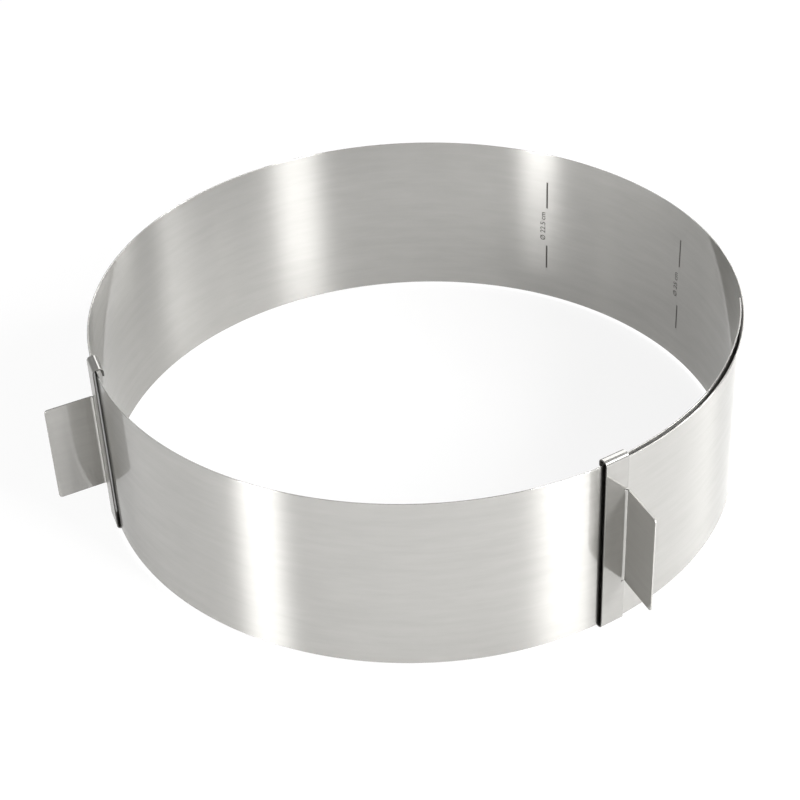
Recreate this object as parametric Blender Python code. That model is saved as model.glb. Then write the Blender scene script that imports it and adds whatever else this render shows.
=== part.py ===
"""An adjustable cake ring: one strip of spring steel coiled a little more than once round,
with two folded clips that hold its layers together and carry the finger wings.

Metres, +Z up. The origin is on the ring's axis, at the level that the clips stand on.
The front of the ring is at -Y, midway between the clips, and angles are degrees from there
towards +X. The strip begins at its outer end, inside the end clip at the front right. It runs
round by the right, the back, the left and the front, dives under its own outer end and stops
inside the ring, where it slides freely when the ring is set wider or narrower.
"""

import math

import bmesh
import bpy
from mathutils import Matrix, Vector

# The strip: stainless spring steel
STRIP_SHEET = 0.0006
STRIP_HEIGHT = 0.080
RING_RADIUS = 0.1375  # inside the single layer: the ring is set to 27.5 cm
END_INSET = 0.004  # the outer end stops this far inside the end clip's edge
OVERLAP_LENGTH = 0.131  # how far the inner end reaches past the outer end
OUTER_LAP_RISE = 0.0009  # the outer lap stands this far outside the single layer
INNER_LAP_DROP = 0.0013  # the inner lap lies this far inside it
DIVE_LENGTH = 0.024  # the run in which the single layer becomes the inner lap
TIP_RISE = 0.0011  # the inner lap's tip springs back out by this much
TIP_LENGTH = 0.045
SETTLE_LENGTH = 0.2  # the run past the overlap in which the wall comes in to its radius
STRIP_STEP_ANGLE = 2.5

# The clips: two blanks, alike but for the height of their wings, stamped and folded
CLIP_SHEET = 0.0006
CLIP_WIDTH = 0.0107
CLIP_ANGLE = 52.0  # from the front to the middle of each clip
CLEARANCE = 0.0004  # between a clip and the layers that it holds
CLIP_PLAY = 0.0008  # how far a clip can be lifted on the strip
HOOK_INNER_RADIUS = 0.0013
HOOK_LEG = 0.0046  # from the top of a hook to the tip of its leg inside the ring
LEG_CORNER = 0.0015
HOOK_SEGMENTS = 4
SLIDE_CLIP_SLACK = 0.0005  # the loose clip hangs this much further out

# The wings: a tab of each blank, folded outwards past square
WING_HEIGHT = 0.0456
WING_LENGTH = 0.0203  # the flat run past the fold
END_WING_RISE = 0.0022  # from the middle of the end clip's blank up to the middle of its wing
SLIDE_WING_RISE = 0.0006  # the same on the slide clip, which is worn upside down
WING_FOLD_ANGLE = 99.0
WING_FOLD_RADIUS = 0.0006
WING_CORNER = 0.0015
WING_NOTCH = 0.0006  # cut above and below the fold, so that the sheet doesn't tear
FOLD_SEGMENTS = 6
CORNER_SEGMENTS = 4
ON_LINE = 0.000001  # a corner this near a fold line lies on it

# What follows from these sizes
CHANNEL = OUTER_LAP_RISE + INNER_LAP_DROP + STRIP_SHEET + 2 * CLEARANCE
PLATE_RADIUS = RING_RADIUS + OUTER_LAP_RISE + STRIP_SHEET + CLEARANCE + CLIP_SHEET
HOOK_RADIUS = HOOK_INNER_RADIUS + CLIP_SHEET
BRIDGE = CHANNEL - 2 * HOOK_INNER_RADIUS
ROOM_IN_HOOK = HOOK_INNER_RADIUS - CLEARANCE  # from a hook's arc centre to the strip's face
SEAT_RISE = HOOK_INNER_RADIUS - math.sqrt(HOOK_INNER_RADIUS**2 - ROOM_IN_HOOK**2)
STRIP_LIFT = CLIP_SHEET + SEAT_RISE + CLEARANCE
CLIP_HEIGHT = STRIP_LIFT + STRIP_HEIGHT + STRIP_LIFT + CLIP_PLAY

# Colours and roughness of the steel
STRIP_FINISH = ((0.66, 0.65, 0.63), 0.22)
CLIP_FINISH = ((0.60, 0.60, 0.58), 0.25)


def clear_scene():
    for obj in list(bpy.data.objects):
        bpy.data.objects.remove(obj)


def arc_angle(length):
    """The degrees that a length takes up along the ring."""
    return math.degrees(length / RING_RADIUS)


def ease(share):
    """A half wave from 0 to 1, level at both ends."""
    return (1 - math.cos(math.pi * min(max(share, 0), 1))) / 2


def steel(name, finish):
    colour, roughness = finish
    material = bpy.data.materials.new(name)
    material.use_nodes = True
    shader = material.node_tree.nodes["Principled BSDF"]
    shader.inputs["Base Color"].default_value = (*colour, 1)
    shader.inputs["Metallic"].default_value = 1
    shader.inputs["Roughness"].default_value = roughness
    return material


def verts_of(parts):
    return [part for part in parts if isinstance(part, bmesh.types.BMVert)]


def sheet_object(name, bm, thickness, side, finish):
    """A sheet piece from one of its faces: side is 1 or -1, before or behind that face."""
    mesh = bpy.data.meshes.new(name)
    bm.to_mesh(mesh)
    bm.free()
    mesh.shade_smooth()
    mesh.set_sharp_from_angle(angle=math.radians(30))
    mesh.materials.append(steel(name + "_steel", finish))
    obj = bpy.data.objects.new(name, mesh)
    bpy.context.collection.objects.link(obj)
    solidify = obj.modifiers.new("sheet", "SOLIDIFY")
    solidify.thickness = thickness
    solidify.offset = side
    solidify.use_even_offset = True
    return obj


# The strip
OUTER_END_ANGLE = CLIP_ANGLE - arc_angle(CLIP_WIDTH / 2 - END_INSET)
INNER_END_ANGLE = OUTER_END_ANGLE + arc_angle(OVERLAP_LENGTH) + 360


def strip_radius(angle):
    """The radius of the strip's inner face. The angle goes past 360 on the inner lap."""
    settled = ease((angle - INNER_END_ANGLE + 360) / arc_angle(SETTLE_LENGTH))
    dived = ease((angle - CLIP_ANGLE - 360) / arc_angle(DIVE_LENGTH) + 1 / 2)
    sprung = ease((angle - INNER_END_ANGLE) / arc_angle(TIP_LENGTH) + 1)
    single_layer = RING_RADIUS + OUTER_LAP_RISE * (1 - settled)
    return single_layer - INNER_LAP_DROP * dived + TIP_RISE * sprung


def make_strip():
    """The line of the strip's inner face, drawn up to its height."""
    whole = INNER_END_ANGLE - OUTER_END_ANGLE
    steps = math.ceil(whole / STRIP_STEP_ANGLE)
    bm = bmesh.new()
    line = []
    for step in range(steps + 1):
        angle = INNER_END_ANGLE - whole * step / steps
        radius = strip_radius(angle)
        turn = math.radians(angle)
        line.append(bm.verts.new((radius * math.sin(turn), -radius * math.cos(turn), STRIP_LIFT)))
    edges = [bm.edges.new(ends) for ends in zip(line, line[1:])]
    wall = bmesh.ops.extrude_edge_only(bm, edges=edges)["geom"]
    bmesh.ops.translate(bm, verts=verts_of(wall), vec=(0, 0, STRIP_HEIGHT))
    return sheet_object("strip", bm, STRIP_SHEET, 1, STRIP_FINISH)


# The clips
FLAT_HALF = CLIP_HEIGHT / 2 - HOOK_RADIUS  # from the middle of the plate to its hooks
HOOK_FOLD = HOOK_RADIUS * math.pi / 2
LEG_FOLD_START = FLAT_HALF + HOOK_FOLD + BRIDGE
BLANK_HALF = LEG_FOLD_START + HOOK_FOLD + HOOK_LEG - HOOK_RADIUS
WING_FOLD_START = CLIP_WIDTH / 2 - WING_FOLD_RADIUS - CLIP_SHEET
WING_FOLD = WING_FOLD_RADIUS * math.radians(WING_FOLD_ANGLE)


def round_corners(bm, corners, radius):
    bmesh.ops.bevel(
        bm,
        geom=corners,
        offset=radius,
        segments=CORNER_SEGMENTS,
        profile=0.5,
        affect="VERTICES",
        material=-1,
    )


def cut_blank(wing_rise):
    """The clip's flat blank, seen from outside the ring: x across, z up from its middle.

    Its two faces are the plate with its legs, and the wing, which meet at the wing's fold.
    """
    side = CLIP_WIDTH / 2
    tip = WING_FOLD_START + WING_FOLD + WING_LENGTH
    low, high = wing_rise - WING_HEIGHT / 2, wing_rise + WING_HEIGHT / 2
    upper = [(WING_FOLD_START, high + WING_NOTCH), (side, high + WING_NOTCH), (side, BLANK_HALF)]
    lower = [(side, -BLANK_HALF), (side, low - WING_NOTCH), (WING_FOLD_START, low - WING_NOTCH)]
    back = [(-side, BLANK_HALF), (-side, -BLANK_HALF)]
    bm = bmesh.new()
    root = [bm.verts.new((WING_FOLD_START, 0, z)) for z in (low, high)]
    rim = [bm.verts.new((x, 0, z)) for x, z in upper + back + lower]
    tips = [bm.verts.new((tip, 0, z)) for z in (high, low)]
    bm.faces.new(root + rim)
    bm.faces.new([root[0], tips[1], tips[0], root[1]])
    round_corners(bm, [v for v in bm.verts if abs(v.co.z) > LEG_FOLD_START], LEG_CORNER)
    round_corners(bm, [v for v in bm.verts if v.co.x > side], WING_CORNER)
    faces = sorted(bm.faces, key=lambda face: face.calc_center_median().x)
    plate, wing = ([face, *face.edges, *face.verts] for face in faces)
    return bm, plate, wing


def score(bm, parts, along, start, width, count):
    """Cuts a flat piece across a fold's width, so that it can bend there in equal steps."""
    for step in range(count + 1):
        place = along * (start + width * step / count)
        cut = bmesh.ops.bisect_plane(bm, geom=parts, dist=ON_LINE, plane_co=place, plane_no=along)
        parts = cut["geom"]
    return parts


def fold(parts, along, start, towards, radius, angle):
    """Bends what lies past the start of a fold towards one side, round the drawn face."""
    for vert in verts_of(parts):
        past = vert.co.dot(along) - start
        if past <= 0:
            continue
        raised = vert.co.dot(towards)
        turn = min(past / radius, angle)
        rest = past - radius * turn
        reach = (radius - raised) * math.sin(turn) + rest * math.cos(turn)
        climb = radius - (radius - raised) * math.cos(turn) + rest * math.sin(turn)
        vert.co += along * (reach - past) + towards * (climb - raised)


def fold_clip(wing_rise):
    """The blank with its wing and its four hook folds bent. The plate stays at y = 0."""
    bm, plate, wing = cut_blank(wing_rise)
    across, inwards = Vector((1, 0, 0)), Vector((0, 1, 0))
    wing = score(bm, wing, across, WING_FOLD_START, WING_FOLD, FOLD_SEGMENTS)
    wing_angle = math.radians(WING_FOLD_ANGLE)
    fold(wing, across, WING_FOLD_START, -inwards, WING_FOLD_RADIUS, wing_angle)
    for end in Vector((0, 0, 1)), Vector((0, 0, -1)):
        for start in (FLAT_HALF, LEG_FOLD_START):
            plate = score(bm, plate, end, start, HOOK_FOLD, HOOK_SEGMENTS)
        for start in (LEG_FOLD_START, FLAT_HALF):
            fold(plate, end, start, inwards, HOOK_RADIUS, math.pi / 2)
    return bm


def make_clip(name, angle, wing_rise, turn, slack):
    """A clip on the ring, with its origin on the ring's axis. Turned, it is upside down."""
    bm = fold_clip(wing_rise)
    up_side = Matrix.Rotation(turn, 4, "Y")
    seat = Matrix.Translation((0, -PLATE_RADIUS - slack, CLIP_HEIGHT / 2))
    bm.transform(seat @ up_side)
    clip = sheet_object(name, bm, CLIP_SHEET, -1, CLIP_FINISH)
    clip.rotation_euler.z = math.radians(angle)
    return clip


clear_scene()
make_strip()
make_clip("end_clip", CLIP_ANGLE, END_WING_RISE, 0, 0)
make_clip("slide_clip", -CLIP_ANGLE, SLIDE_WING_RISE, math.pi, SLIDE_CLIP_SLACK)
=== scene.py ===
"""The looks of an adjustable cake ring: a coiled stainless strip and its two folded clips."""

import math

import bmesh
import bpy
from mathutils import Matrix, Vector


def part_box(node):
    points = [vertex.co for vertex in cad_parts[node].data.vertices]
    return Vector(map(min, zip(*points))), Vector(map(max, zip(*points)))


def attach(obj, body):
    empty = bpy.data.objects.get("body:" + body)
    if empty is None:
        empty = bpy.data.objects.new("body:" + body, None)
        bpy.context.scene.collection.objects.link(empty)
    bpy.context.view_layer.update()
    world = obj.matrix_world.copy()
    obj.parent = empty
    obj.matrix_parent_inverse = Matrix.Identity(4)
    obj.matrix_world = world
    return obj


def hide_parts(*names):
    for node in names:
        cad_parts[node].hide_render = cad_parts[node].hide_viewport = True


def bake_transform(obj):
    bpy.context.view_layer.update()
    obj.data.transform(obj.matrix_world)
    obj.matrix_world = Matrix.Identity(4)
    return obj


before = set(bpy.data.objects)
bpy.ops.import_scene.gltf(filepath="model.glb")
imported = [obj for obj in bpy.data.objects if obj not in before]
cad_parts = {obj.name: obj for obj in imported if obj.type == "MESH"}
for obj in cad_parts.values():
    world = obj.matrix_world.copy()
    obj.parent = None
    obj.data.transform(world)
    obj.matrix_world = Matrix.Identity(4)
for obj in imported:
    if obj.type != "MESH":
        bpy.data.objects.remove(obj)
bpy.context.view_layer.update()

# The strip
# One ribbon of cold-rolled stainless spring steel, coiled 1.15 turns, its long edges dressed
# round. Nothing fixes it: it springs out against the two clips round it. Its section is spun
# round the ring's axis, and then its laps are eased apart.
STRIP_SHEET = 0.0006
STRIP_EDGE_ROUND = 0.0002
STRIP_EDGE_STEPS = 3
RING_RADIUS = 0.1375
# Angles are degrees from the front (-Y) towards +X, and go past 360 on the inner lap.
STRIP_STEP = 0.5
OUTER_END = 51.44
OVERLAP = 54.59  # 131 mm of wall
INNER_END = OUTER_END + OVERLAP + 360
JOIN = 200.0  # at the back, where the outer piece ends and the inner one, which rides with the ring, begins
# How far each layer stands off the ring's circle, and between which angles it comes or goes.
OUTER_LAP_RISE, OUTER_LAP_SETTLES = 0.0009, (OUTER_END + OVERLAP, 189.37)
INNER_LAP_DROP, INNER_LAP_DIVES = 0.0013, (407.0, 417.0)
TIP_RISE, TIP_SPRINGS_OUT = 0.0011, (447.28, INNER_END)
SHARP_ANGLE = math.radians(50)  # past this, two faces meet in an edge that shows
strip_foot, strip_top = (corner.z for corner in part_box("strip"))


def at(angle, radius, height=0.0):
    """A point by its angle round the ring, its radius and its height."""
    turn = math.radians(angle)
    return Vector((radius * math.sin(turn), -radius * math.cos(turn), height))


def angle_of(point, low):
    """The angle of a point round the ring, at or above a lowest one."""
    angle = math.degrees(math.atan2(point.x, -point.y))
    while angle < low - STRIP_STEP:
        angle += 360
    return angle


def ease(value, span):
    """0 to 1 along a half wave, as a value crosses a span."""
    share = min(max((value - span[0]) / (span[1] - span[0]), 0), 1)
    return (1 - math.cos(math.pi * share)) / 2


def lap_offset(angle):
    """How far the wall stands outside the ring's circle at an angle."""
    outer = OUTER_LAP_RISE * (1 - ease(angle, OUTER_LAP_SETTLES))
    inner = INNER_LAP_DROP * ease(angle, INNER_LAP_DIVES)
    return outer - inner + TIP_RISE * ease(angle, TIP_SPRINGS_OUT)


def linear(hex_colour):
    """An sRGB hex colour as linear red, green, blue and alpha."""
    channels = [int(hex_colour[i : i + 2], 16) / 255 for i in (1, 3, 5)]
    lit = [c / 12.92 if c <= 0.04045 else ((c + 0.055) / 1.055) ** 2.4 for c in channels]
    return (*lit, 1)


def per_metre(size):
    """A pattern's scale from the size of one of its cells, in millimetres."""
    return 1000 / size


def fill(node, sockets):
    """Sets a node's sockets, by name or place, to values or to links from other nodes."""
    for place, value in sockets.items():
        if isinstance(value, bpy.types.NodeSocket):
            node.id_data.links.new(value, node.inputs[place])
        else:
            node.inputs[place].default_value = value


def add(tree, kind, sockets, **settings):
    """Adds a node to a tree and gives its first output."""
    node = tree.nodes.new(kind)
    for name, value in settings.items():
        setattr(node, name, value)
    fill(node, sockets)
    return next(output for output in node.outputs if output.enabled)


def as_object(name, bm):
    """Puts a finished shape in the scene, smooth but for its sharp edges."""
    mesh = bpy.data.meshes.new(name)
    bm.to_mesh(mesh)
    bm.free()
    mesh.shade_smooth()
    mesh.set_sharp_from_angle(angle=SHARP_ANGLE)
    obj = bpy.data.objects.new(name, mesh)
    bpy.context.collection.objects.link(obj)
    return obj


def flatten_faces(piece):
    """Shades large faces flat and keeps the bend in the small ones along their edges."""
    largest_only = 100
    flat = piece.modifiers.new("flat faces", "WEIGHTED_NORMAL")
    flat.weight = largest_only
    flat.keep_sharp = True


# The steel's surface
ROLLING_LINE = (45.45, 1.111)  # mm along the rolling and across it
LINE_DEPTH = 0.000006  # deeper than a real line, which is narrower
LINE_BOLDNESS = 0.5
LINE_ROUGHNESS_SHARE = 0.18  # how far the lines vary the haze's roughness, up and down
CLOUD = (25, 3.846)  # mm along and across, for the paler patches that the rolls leave
CLOUD_LIFT = 1.22  # how much paler they are
HAZE_STRETCH, GLOSS_STRETCH = 1.0, 0.5  # how far each reflection is drawn out across the lines
ACROSS_THE_LINES = 0.25  # a quarter turn from the tangent, which runs along them
FACTOR, COLOUR_A, COLOUR_B = 0, 6, 7  # the places of a Mix node's sockets, whose names repeat


def stainless(name, hex_colour, gloss, haze, gloss_share):
    """Cold-rolled stainless steel: a mirror image seen through a haze across the rolling lines.

    The lines run along the grain map's U. Real ones are about 0.05 mm apart. Here the widest
    are 1.1 mm apart, with finer ones between, so that they show.
    """
    material = bpy.data.materials.new(name)
    material.use_nodes = True
    tree = material.node_tree
    grain = add(tree, "ShaderNodeUVMap", {}, uv_map="grain")
    line_scale = (*map(per_metre, ROLLING_LINE), 1)
    along = add(tree, "ShaderNodeMapping", {"Vector": grain, "Scale": line_scale})
    lines = add(tree, "ShaderNodeTexNoise", {"Vector": along, "Scale": 1, "Detail": 4})
    cloud_scale = (*map(per_metre, CLOUD), 1)
    broad = add(tree, "ShaderNodeMapping", {"Vector": grain, "Scale": cloud_scale})
    cloudy = {"Vector": broad, "Scale": 1, "Detail": 5, "Roughness": 0.6}
    clouds = add(tree, "ShaderNodeTexNoise", cloudy)
    dull = linear(hex_colour)
    bright = [channel * CLOUD_LIFT for channel in dull[:3]] + [1]
    tones = {FACTOR: clouds, COLOUR_A: dull, COLOUR_B: bright}
    colour = add(tree, "ShaderNodeMix", tones, data_type="RGBA")
    relief = {"Height": lines, "Distance": LINE_DEPTH, "Strength": LINE_BOLDNESS}
    bump = add(tree, "ShaderNodeBump", relief)
    tangent = add(tree, "ShaderNodeTangent", {}, direction_type="UV_MAP", uv_map="grain")
    metal = {
        "Base Color": colour,
        "Metallic": 1,
        "Tangent": tangent,
        "Normal": bump,
        "Anisotropic Rotation": ACROSS_THE_LINES,
    }
    least, most = haze * (1 - LINE_ROUGHNESS_SHARE), haze * (1 + LINE_ROUGHNESS_SHARE)
    rough = add(tree, "ShaderNodeMapRange", {"Value": lines, "To Min": least, "To Max": most})
    hazy = tree.nodes["Principled BSDF"]
    fill(hazy, {**metal, "Roughness": rough, "Anisotropic": HAZE_STRETCH})
    glossy = tree.nodes.new("ShaderNodeBsdfPrincipled")
    fill(glossy, {**metal, "Roughness": gloss, "Anisotropic": GLOSS_STRETCH})
    both = {FACTOR: gloss_share, 1: hazy.outputs[0], 2: glossy.outputs[0]}
    steel = add(tree, "ShaderNodeMixShader", both)
    tree.links.new(steel, tree.nodes["Material Output"].inputs["Surface"])
    return material


strip_steel = stainless(
    "rolled_stainless_strip", "#A4A3A0", gloss=0.06, haze=0.37, gloss_share=0.45
)


def strip_piece(name, start, end):
    """A run of the strip, with its grain map in metres: U from the outer end, V up."""
    bm = bmesh.new()
    inner, outer = RING_RADIUS, RING_RADIUS + STRIP_SHEET
    corners = ((inner, strip_foot), (outer, strip_foot), (outer, strip_top), (inner, strip_top))
    bm.faces.new([bm.verts.new(at(start, radius, height)) for radius, height in corners])
    bmesh.ops.bevel(
        bm,
        geom=bm.verts[:],
        offset=STRIP_EDGE_ROUND,
        segments=STRIP_EDGE_STEPS,
        profile=0.5,
        affect="VERTICES",
        material=-1,
    )
    bmesh.ops.spin(
        bm,
        geom=bm.verts[:] + bm.edges[:] + bm.faces[:],
        cent=(0, 0, 0),
        axis=(0, 0, 1),
        angle=math.radians(end - start),
        steps=round((end - start) / STRIP_STEP),
    )
    bmesh.ops.recalc_face_normals(bm, faces=bm.faces[:])
    grain = bm.loops.layers.uv.new("grain")
    for face in bm.faces:
        for loop in face.loops:
            run = math.radians(angle_of(loop.vert.co, start) - OUTER_END) * RING_RADIUS
            loop[grain].uv = (run, loop.vert.co.z - strip_foot)
    for vert in bm.verts:
        flat = Vector((vert.co.x, vert.co.y, 0))
        vert.co += flat.normalized() * lap_offset(angle_of(vert.co, start))
    piece = as_object(name, bm)
    flatten_faces(piece)
    piece.data.materials.append(strip_steel)
    return piece


def follow_end_clip(piece):
    """Bakes a piece's placing into its mesh."""
    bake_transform(piece)


outer_run = strip_piece("strip_outer_run", OUTER_END, JOIN)
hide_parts("strip")
follow_end_clip(outer_run)
inner_run = strip_piece("strip_inner_run", JOIN, INNER_END)
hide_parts("strip")
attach(inner_run, "ring")

# The setting marks
# Two marks inside the ring, a thin dark oxide that a laser burns on the steel: a broken upright
# line that the strip's inner end is set to, and the diameter beside it, turned on its side.
MARK_ANGLES = {"25": 137.0, "22.5": 171.1}  # by the diameter in centimetres
MARK_WIDTH = 0.0008
MARK_HEIGHT_SHARES = ((0.205, 0.365), (0.63, 0.81))
FIGURE_HEIGHT = 0.0026
FIGURE_CENTRE_SHARE = 0.5
FIGURE_GAP = 0.0009
FIGURE_BOLDNESS = 0.00003
CAPITAL_SHARE = 0.7  # of the font's size
MARK_PROUD = 0.00002
BURN_SPECKLE = 0.25  # mm; the real speckle is about 0.05 mm, too fine to show


def laser_mark(name):
    """Laser-annealed stainless: a thin dark oxide, a little uneven, duller than the steel."""
    material = bpy.data.materials.new(name)
    material.use_nodes = True
    tree = material.node_tree
    place = add(tree, "ShaderNodeTexCoord", {}).node.outputs["Object"]
    fine = {"Vector": place, "Scale": per_metre(BURN_SPECKLE), "Detail": 2}
    speckle = add(tree, "ShaderNodeTexNoise", fine)
    tones = {FACTOR: speckle, COLOUR_A: linear("#32302D"), COLOUR_B: linear("#4E4C48")}
    colour = add(tree, "ShaderNodeMix", tones, data_type="RGBA")
    oxide = {"Base Color": colour, "Metallic": 0.6, "Roughness": 0.5}
    fill(tree.nodes["Principled BSDF"], oxide)
    return material


mark_burn = laser_mark("laser_annealed_mark")


def wrap_inside(piece, angle):
    """Bends a flat drawing on to the strip's inner face: its x goes up, its y goes round."""
    for vert in piece.data.vertices:
        up, round_run, proud = vert.co
        turned = angle + math.degrees(round_run / RING_RADIUS)
        vert.co = at(turned, RING_RADIUS + lap_offset(turned) - proud, up)
    piece.data.materials.append(mark_burn)
    follow_end_clip(piece)


def up_the_strip(share):
    """The height above the floor of a share of the strip's height."""
    return strip_foot + (strip_top - strip_foot) * share


def mark_lines(name, angle):
    """The two upright bars of a mark."""
    bm = bmesh.new()
    for low, high in MARK_HEIGHT_SHARES:
        foot, top = up_the_strip(low), up_the_strip(high)
        bar = bmesh.ops.create_cube(bm, size=1)["verts"]
        bmesh.ops.scale(bm, verts=bar, vec=(top - foot, MARK_WIDTH, 2 * MARK_PROUD))
        bmesh.ops.translate(bm, verts=bar, vec=((foot + top) / 2, 0, 0))
    wrap_inside(as_object(name, bm), angle)


def mark_figures(name, text, angle):
    """The diameter beside a mark, in plain letters."""
    curve = bpy.data.curves.new(name, "FONT")
    curve.body = text
    curve.size = FIGURE_HEIGHT / CAPITAL_SHARE
    curve.align_x = "CENTER"
    curve.extrude = MARK_PROUD
    curve.offset = FIGURE_BOLDNESS
    drawn = bpy.data.objects.new(name + "_curve", curve)
    bpy.context.collection.objects.link(drawn)
    mesh = bpy.data.meshes.new_from_object(drawn)
    bpy.data.objects.remove(drawn)
    mesh.transform(Matrix.Translation((up_the_strip(FIGURE_CENTRE_SHARE), FIGURE_GAP, 0)))
    piece = bpy.data.objects.new(name, mesh)
    bpy.context.collection.objects.link(piece)
    wrap_inside(piece, angle)


for figure, angle in MARK_ANGLES.items():
    label = figure.replace(".", "_")
    mark_lines("mark_lines_" + label, angle)
    mark_figures("mark_figures_" + label, "Ø " + figure + " cm", angle)

# The clips
# Each is stamped from 0.6 mm polished stainless sheet and folded: a plate outside the strip, a
# hook over each edge with a short leg inside, and a tab folded out past square as a finger wing.
# Only its hooks hold it on the strip. The left one is worn upside down, a little askew.
CLIP_SHEET = 0.0006
CLIP_WIDTH = 0.0107
CLIP_ANGLE = 52.0
END_CLIP_GAP, SLIDE_CLIP_GAP = 0.0002, 0.0009  # between a plate and the wall inside it
SLIDE_CLIP_TILT = 1.5  # degrees, which its play allows
HOOK_RADIUS = 0.0019
HOOK_TURN = 90
HOOK_STEPS = 12
BRIDGE = 0.0010
HOOK_LEG = 0.0046
LEG_CORNER = 0.0015
WING_HEIGHT = 0.0456
WING_LENGTH = 0.0199
END_WING_RISE, SLIDE_WING_RISE = 0.0022, 0.0006
WING_FOLD_ANGLE = 99.0
WING_FOLD_RADIUS = 0.0010
WING_FOLD_STEPS = 16
WING_CORNER = 0.0015
WING_NOTCH = 0.0006
CORNER_STEPS = 8
CLIP_EDGE_ROUND = 0.0001
CLIP_EDGE_STEPS = 2
PLATE_FINISH, WING_FINISH = 0, 2  # among a clip's materials; each one's back comes next
MILL_MOTTLE = 1.111  # mm; the real grain is about 0.02 mm, too fine to show
clip_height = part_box("end_clip")[1].z

clip_steel = stainless(
    "polished_stainless_sheet", "#9E9D9A", gloss=0.06, haze=0.36, gloss_share=0.6
)


def mill_finish(name):
    """Sheet as rolled and pickled: grey, dull and faintly mottled.

    It shows inside the clips' channels and on the cut edges round them. Its dark grey is painted
    shade that makes those channels look shadowed.
    """
    material = bpy.data.materials.new(name)
    material.use_nodes = True
    tree = material.node_tree
    place = add(tree, "ShaderNodeTexCoord", {}).node.outputs["Object"]
    faint = {"Vector": place, "Scale": per_metre(MILL_MOTTLE), "Detail": 3}
    mottle = add(tree, "ShaderNodeTexNoise", faint)
    tones = {FACTOR: mottle, COLOUR_A: linear("#5B5A58"), COLOUR_B: linear("#6B6A68")}
    colour = add(tree, "ShaderNodeMix", tones, data_type="RGBA")
    dull = {"Base Color": colour, "Metallic": 1, "Roughness": 0.5}
    fill(tree.nodes["Principled BSDF"], dull)
    return material


# Dull backs for the clips, painted dark grey as shade so that the channels look shadowed.
clip_back = mill_finish("mill_finish_painted_shade_sheet")


def extend(bm, edge, vector):
    """Draws the sheet on from an edge, and gives the new edge."""
    parts = bmesh.ops.extrude_edge_only(bm, edges=[edge])["geom"]
    verts = [part for part in parts if isinstance(part, bmesh.types.BMVert)]
    bmesh.ops.translate(bm, verts=verts, vec=vector)
    return bm.edges.get(verts)


def bend(bm, edge, centre, axis, angle, steps):
    """Folds the sheet on from an edge, round an axis, and gives the edge past the fold."""
    bent = bmesh.ops.spin(
        bm,
        geom=[edge, *edge.verts],
        cent=centre,
        axis=axis,
        angle=math.radians(angle),
        steps=steps,
    )["geom_last"]
    return next(part for part in bent if isinstance(part, bmesh.types.BMEdge))


def round_corners(bm, edge, radius):
    """Rounds the sheet's two corners at the ends of an edge."""
    bmesh.ops.bevel(
        bm,
        geom=list(edge.verts),
        offset=radius,
        segments=CORNER_STEPS,
        profile=0.5,
        affect="VERTICES",
        material=-1,
    )


def folded_clip(name, angle, gap, wing_rise, turn, tilt):
    """The outer side of a clip's sheet, folded from its plate, then given its thickness."""
    plate_radius = RING_RADIUS + lap_offset(angle) + STRIP_SHEET + gap + CLIP_SHEET
    side, half = CLIP_WIDTH / 2, clip_height / 2 - HOOK_RADIUS
    root = side - WING_FOLD_RADIUS - CLIP_SHEET
    low, high = wing_rise - WING_HEIGHT / 2, wing_rise + WING_HEIGHT / 2
    upper = [(root, high), (root, high + WING_NOTCH), (side, high + WING_NOTCH), (side, half)]
    lower = [(side, -half), (side, low - WING_NOTCH), (root, low - WING_NOTCH), (root, low)]
    bm = bmesh.new()
    outline = upper + [(-side, half), (-side, -half)] + lower
    corners = [bm.verts.new((x, 0, z)) for x, z in outline]
    bm.faces.new(corners)
    top, bottom = bm.edges.get(corners[3:5]), bm.edges.get(corners[5:7])
    fold = bm.edges.get((corners[0], corners[-1]))
    wing_fold = WING_FOLD_ANGLE - tilt  # so that the wing points as on a clip that hangs straight
    fold_centre = (root, -WING_FOLD_RADIUS, 0)
    fold = bend(bm, fold, fold_centre, (0, 0, -1), wing_fold, WING_FOLD_STEPS)
    lean = math.radians(wing_fold)
    tip = extend(bm, fold, (WING_LENGTH * math.cos(lean), -WING_LENGTH * math.sin(lean), 0))
    round_corners(bm, tip, WING_CORNER)
    for up, hook in ((1, top), (-1, bottom)):
        axis = (-up, 0, 0)
        hook = bend(bm, hook, (0, HOOK_RADIUS, up * half), axis, HOOK_TURN, HOOK_STEPS)
        hook = extend(bm, hook, (0, BRIDGE, 0))
        hook = bend(bm, hook, (0, HOOK_RADIUS + BRIDGE, up * half), axis, HOOK_TURN, HOOK_STEPS)
        leg = extend(bm, hook, (0, 0, -up * (HOOK_LEG - HOOK_RADIUS)))
        round_corners(bm, leg, LEG_CORNER)
    bmesh.ops.recalc_face_normals(bm, faces=bm.faces[:])
    grain = bm.loops.layers.uv.new("grain")
    for face in bm.faces:
        wing = face.calc_center_median().y < -WING_FOLD_RADIUS
        face.material_index = WING_FINISH if wing else PLATE_FINISH
        for loop in face.loops:
            loop[grain].uv = (loop.vert.co.x - loop.vert.co.y, loop.vert.co.z)
    over = Matrix.Rotation(turn, 4, "Y")
    seat = Matrix.Translation((0, -plate_radius, clip_height / 2))
    askew = Matrix.Rotation(math.radians(tilt), 4, "Z")
    bm.transform(Matrix.Rotation(math.radians(angle), 4, "Z") @ seat @ askew @ over)
    piece = as_object(name, bm)
    # The plate's back and its cut edges take the painted shade, and the wing stays polished on
    # both sides.
    for finish in (clip_steel, clip_back, clip_steel, clip_steel):
        piece.data.materials.append(finish)
    sheet = piece.modifiers.new("sheet", "SOLIDIFY")
    sheet.thickness, sheet.offset, sheet.use_even_offset = CLIP_SHEET, -1, True
    sheet.material_offset = sheet.material_offset_rim = 1
    edges = piece.modifiers.new("tumbled edges", "BEVEL")
    edges.width, edges.segments, edges.limit_method = CLIP_EDGE_ROUND, CLIP_EDGE_STEPS, "ANGLE"
    edges.angle_limit = SHARP_ANGLE
    flatten_faces(piece)
    return piece


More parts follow.
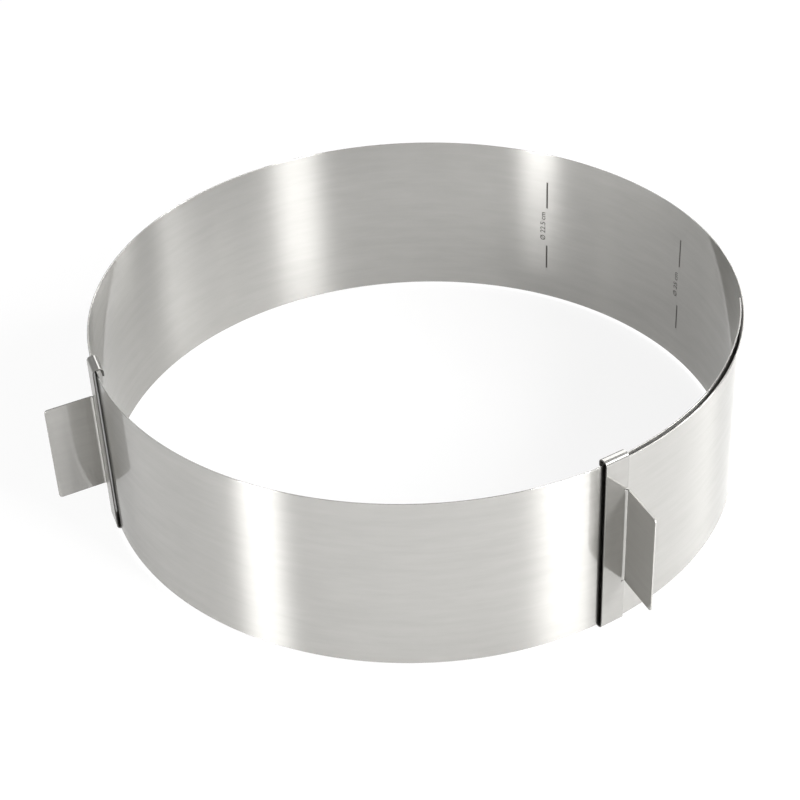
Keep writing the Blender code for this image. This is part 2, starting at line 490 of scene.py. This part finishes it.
for node, angle, gap, wing_rise, turn, tilt in (
    ("end_clip", CLIP_ANGLE, END_CLIP_GAP, END_WING_RISE, 0, 0),
    ("slide_clip", 360 - CLIP_ANGLE, SLIDE_CLIP_GAP, SLIDE_WING_RISE, math.pi, SLIDE_CLIP_TILT),
):
    clip = folded_clip(node + "_sheet", angle, gap, wing_rise, turn, tilt)
    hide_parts(node)
    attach(clip, node)

# The studio
# White paper that runs on out of sight, a pale surround, and ten softboxes that draw the bright
# streaks on the ring. The camera stands where the photographer's did: 0.81 m away, 35 degrees
# up, 20 degrees to the right of the front.
FLOOR_REACH = 12.0
FLOOR_GLOW, MIRRORED_GLOW = 0.86, 0.5  # the mirror images keep more of the floor's shadow
SURROUND, SURROUND_SEEN, SURROUND_MIRRORED = 0.36, 1.0, 0.45  # its strength, by the ray
CAMERA_ANGLE = 20.08
CAMERA_HEIGHT_ANGLE = 35.438
CAMERA_DISTANCE = 0.8135
CAMERA_ROLL = -2.2426
CAMERA_FOCAL = 1857.62  # in pixels of the 800-pixel frame
FRAME_SIZE = 800
FRAME_SHIFT = (16.695, 25.734)  # how far the ring's centre is right of and above the middle
SENSOR_WIDTH = 36

# Each softbox faces the ring's centre. It has its angle from the camera's, its height angle, its
# distance, width and height in metres, and its power in watts.
SOFTBOXES = {
    "left_strip_light": (-48.5, 9, 1.2, 0.26, 0.30, 11),
    "right_strip_light": (43.8, 25, 1.2, 0.32, 0.6, 18),
    "right_low_light": (78, 3, 1.2, 0.7, 0.12, 0.3),
    "side_strip_light": (101, 28, 1.2, 0.12, 0.6, 6),
    "side_low_light": (108, 3, 1.2, 0.55, 0.12, 0.6),
    "side_softbox": (80, 38, 1.2, 0.8, 0.4, 8.4),
    "back_softbox": (133, 6, 1.2, 0.7, 0.25, 8),
    "back_high_softbox": (180, 36, 1.2, 0.6, 0.5, 2.6),
    "front_softbox": (-4, 18, 1.3, 1.5, 0.5, 8),
    "left_low_light": (-80, 3, 1.2, 0.9, 0.12, 2),
}

ring_centre = Vector((0, 0, (strip_foot + strip_top) / 2))


def from_centre(angle, height_angle, distance):
    """A point seen from the ring's centre at an angle round it and an angle up."""
    lift = math.radians(height_angle)
    return ring_centre + at(angle, distance * math.cos(lift), distance * math.sin(lift))


def looking(place, target, roll=0.0):
    """The placing of a lamp or camera that faces a target."""
    turn = (target - place).to_track_quat("-Z", "Y").to_matrix().to_4x4()
    return Matrix.Translation(place) @ turn @ Matrix.Rotation(math.radians(roll), 4, "Z")


def by_ray(tree, lit, seen, mirrored):
    """One value for the light on the object, one for the lens and one for mirror images."""
    path = add(tree, "ShaderNodeLightPath", {}).node.outputs
    rays = {0: path["Is Glossy Ray"], 1: path["Is Transmission Ray"]}
    in_mirrors = add(tree, "ShaderNodeMath", rays, operation="ADD")
    sight = {0: path["Is Camera Ray"], 1: seen - lit, 2: lit}
    direct = add(tree, "ShaderNodeMath", sight, operation="MULTIPLY_ADD")
    every = {0: in_mirrors, 1: mirrored - lit, 2: direct}
    return add(tree, "ShaderNodeMath", every, operation="MULTIPLY_ADD")


def studio_white(name):
    """Matt white paper: a diffuse floor that keeps the shadow, paler where the lens sees it."""
    material = bpy.data.materials.new(name)
    material.use_nodes = True
    tree = material.node_tree
    shader = tree.nodes["Principled BSDF"]
    fill(shader, {"Base Color": linear("#F6F6F6"), "Roughness": 1.0, "Specular IOR Level": 0.0})
    glow = add(tree, "ShaderNodeEmission", {"Strength": 1.0})
    share = by_ray(tree, 0.0, FLOOR_GLOW, MIRRORED_GLOW)
    both = {FACTOR: share, 1: shader.outputs[0], 2: glow}
    paper = add(tree, "ShaderNodeMixShader", both)
    tree.links.new(paper, tree.nodes["Material Output"].inputs["Surface"])
    return material


sweep = bmesh.new()
bmesh.ops.create_grid(sweep, x_segments=1, y_segments=1, size=FLOOR_REACH)
floor = as_object("floor", sweep)
floor.data.materials.append(studio_white("white_paper"))

world = bpy.data.worlds.new("studio")
bpy.context.scene.world = world
world.use_nodes = True
surround = by_ray(world.node_tree, SURROUND, SURROUND_SEEN, SURROUND_MIRRORED)
fill(world.node_tree.nodes["Background"], {"Color": (1, 1, 1, 1), "Strength": surround})

for name, (angle, height_angle, distance, width, height, power) in SOFTBOXES.items():
    light = bpy.data.lights.new(name, "AREA")
    light.shape = "RECTANGLE"
    light.size, light.size_y, light.energy = width, height, power
    lamp = bpy.data.objects.new(name, light)
    bpy.context.collection.objects.link(lamp)
    lamp.visible_camera = False
    place = from_centre(CAMERA_ANGLE + angle, height_angle, distance)
    lamp.matrix_world = looking(place, ring_centre)

lens = bpy.data.cameras.new("camera")
lens.sensor_width = SENSOR_WIDTH
lens.lens = SENSOR_WIDTH * CAMERA_FOCAL / FRAME_SIZE
lens.shift_x, lens.shift_y = (-shift / FRAME_SIZE for shift in FRAME_SHIFT)
camera = bpy.data.objects.new("camera", lens)
bpy.context.collection.objects.link(camera)
eye = from_centre(CAMERA_ANGLE, CAMERA_HEIGHT_ANGLE, CAMERA_DISTANCE)
camera.matrix_world = looking(eye, ring_centre, CAMERA_ROLL)
bpy.context.scene.camera = camera
bpy.context.scene.view_settings.view_transform = "Standard"
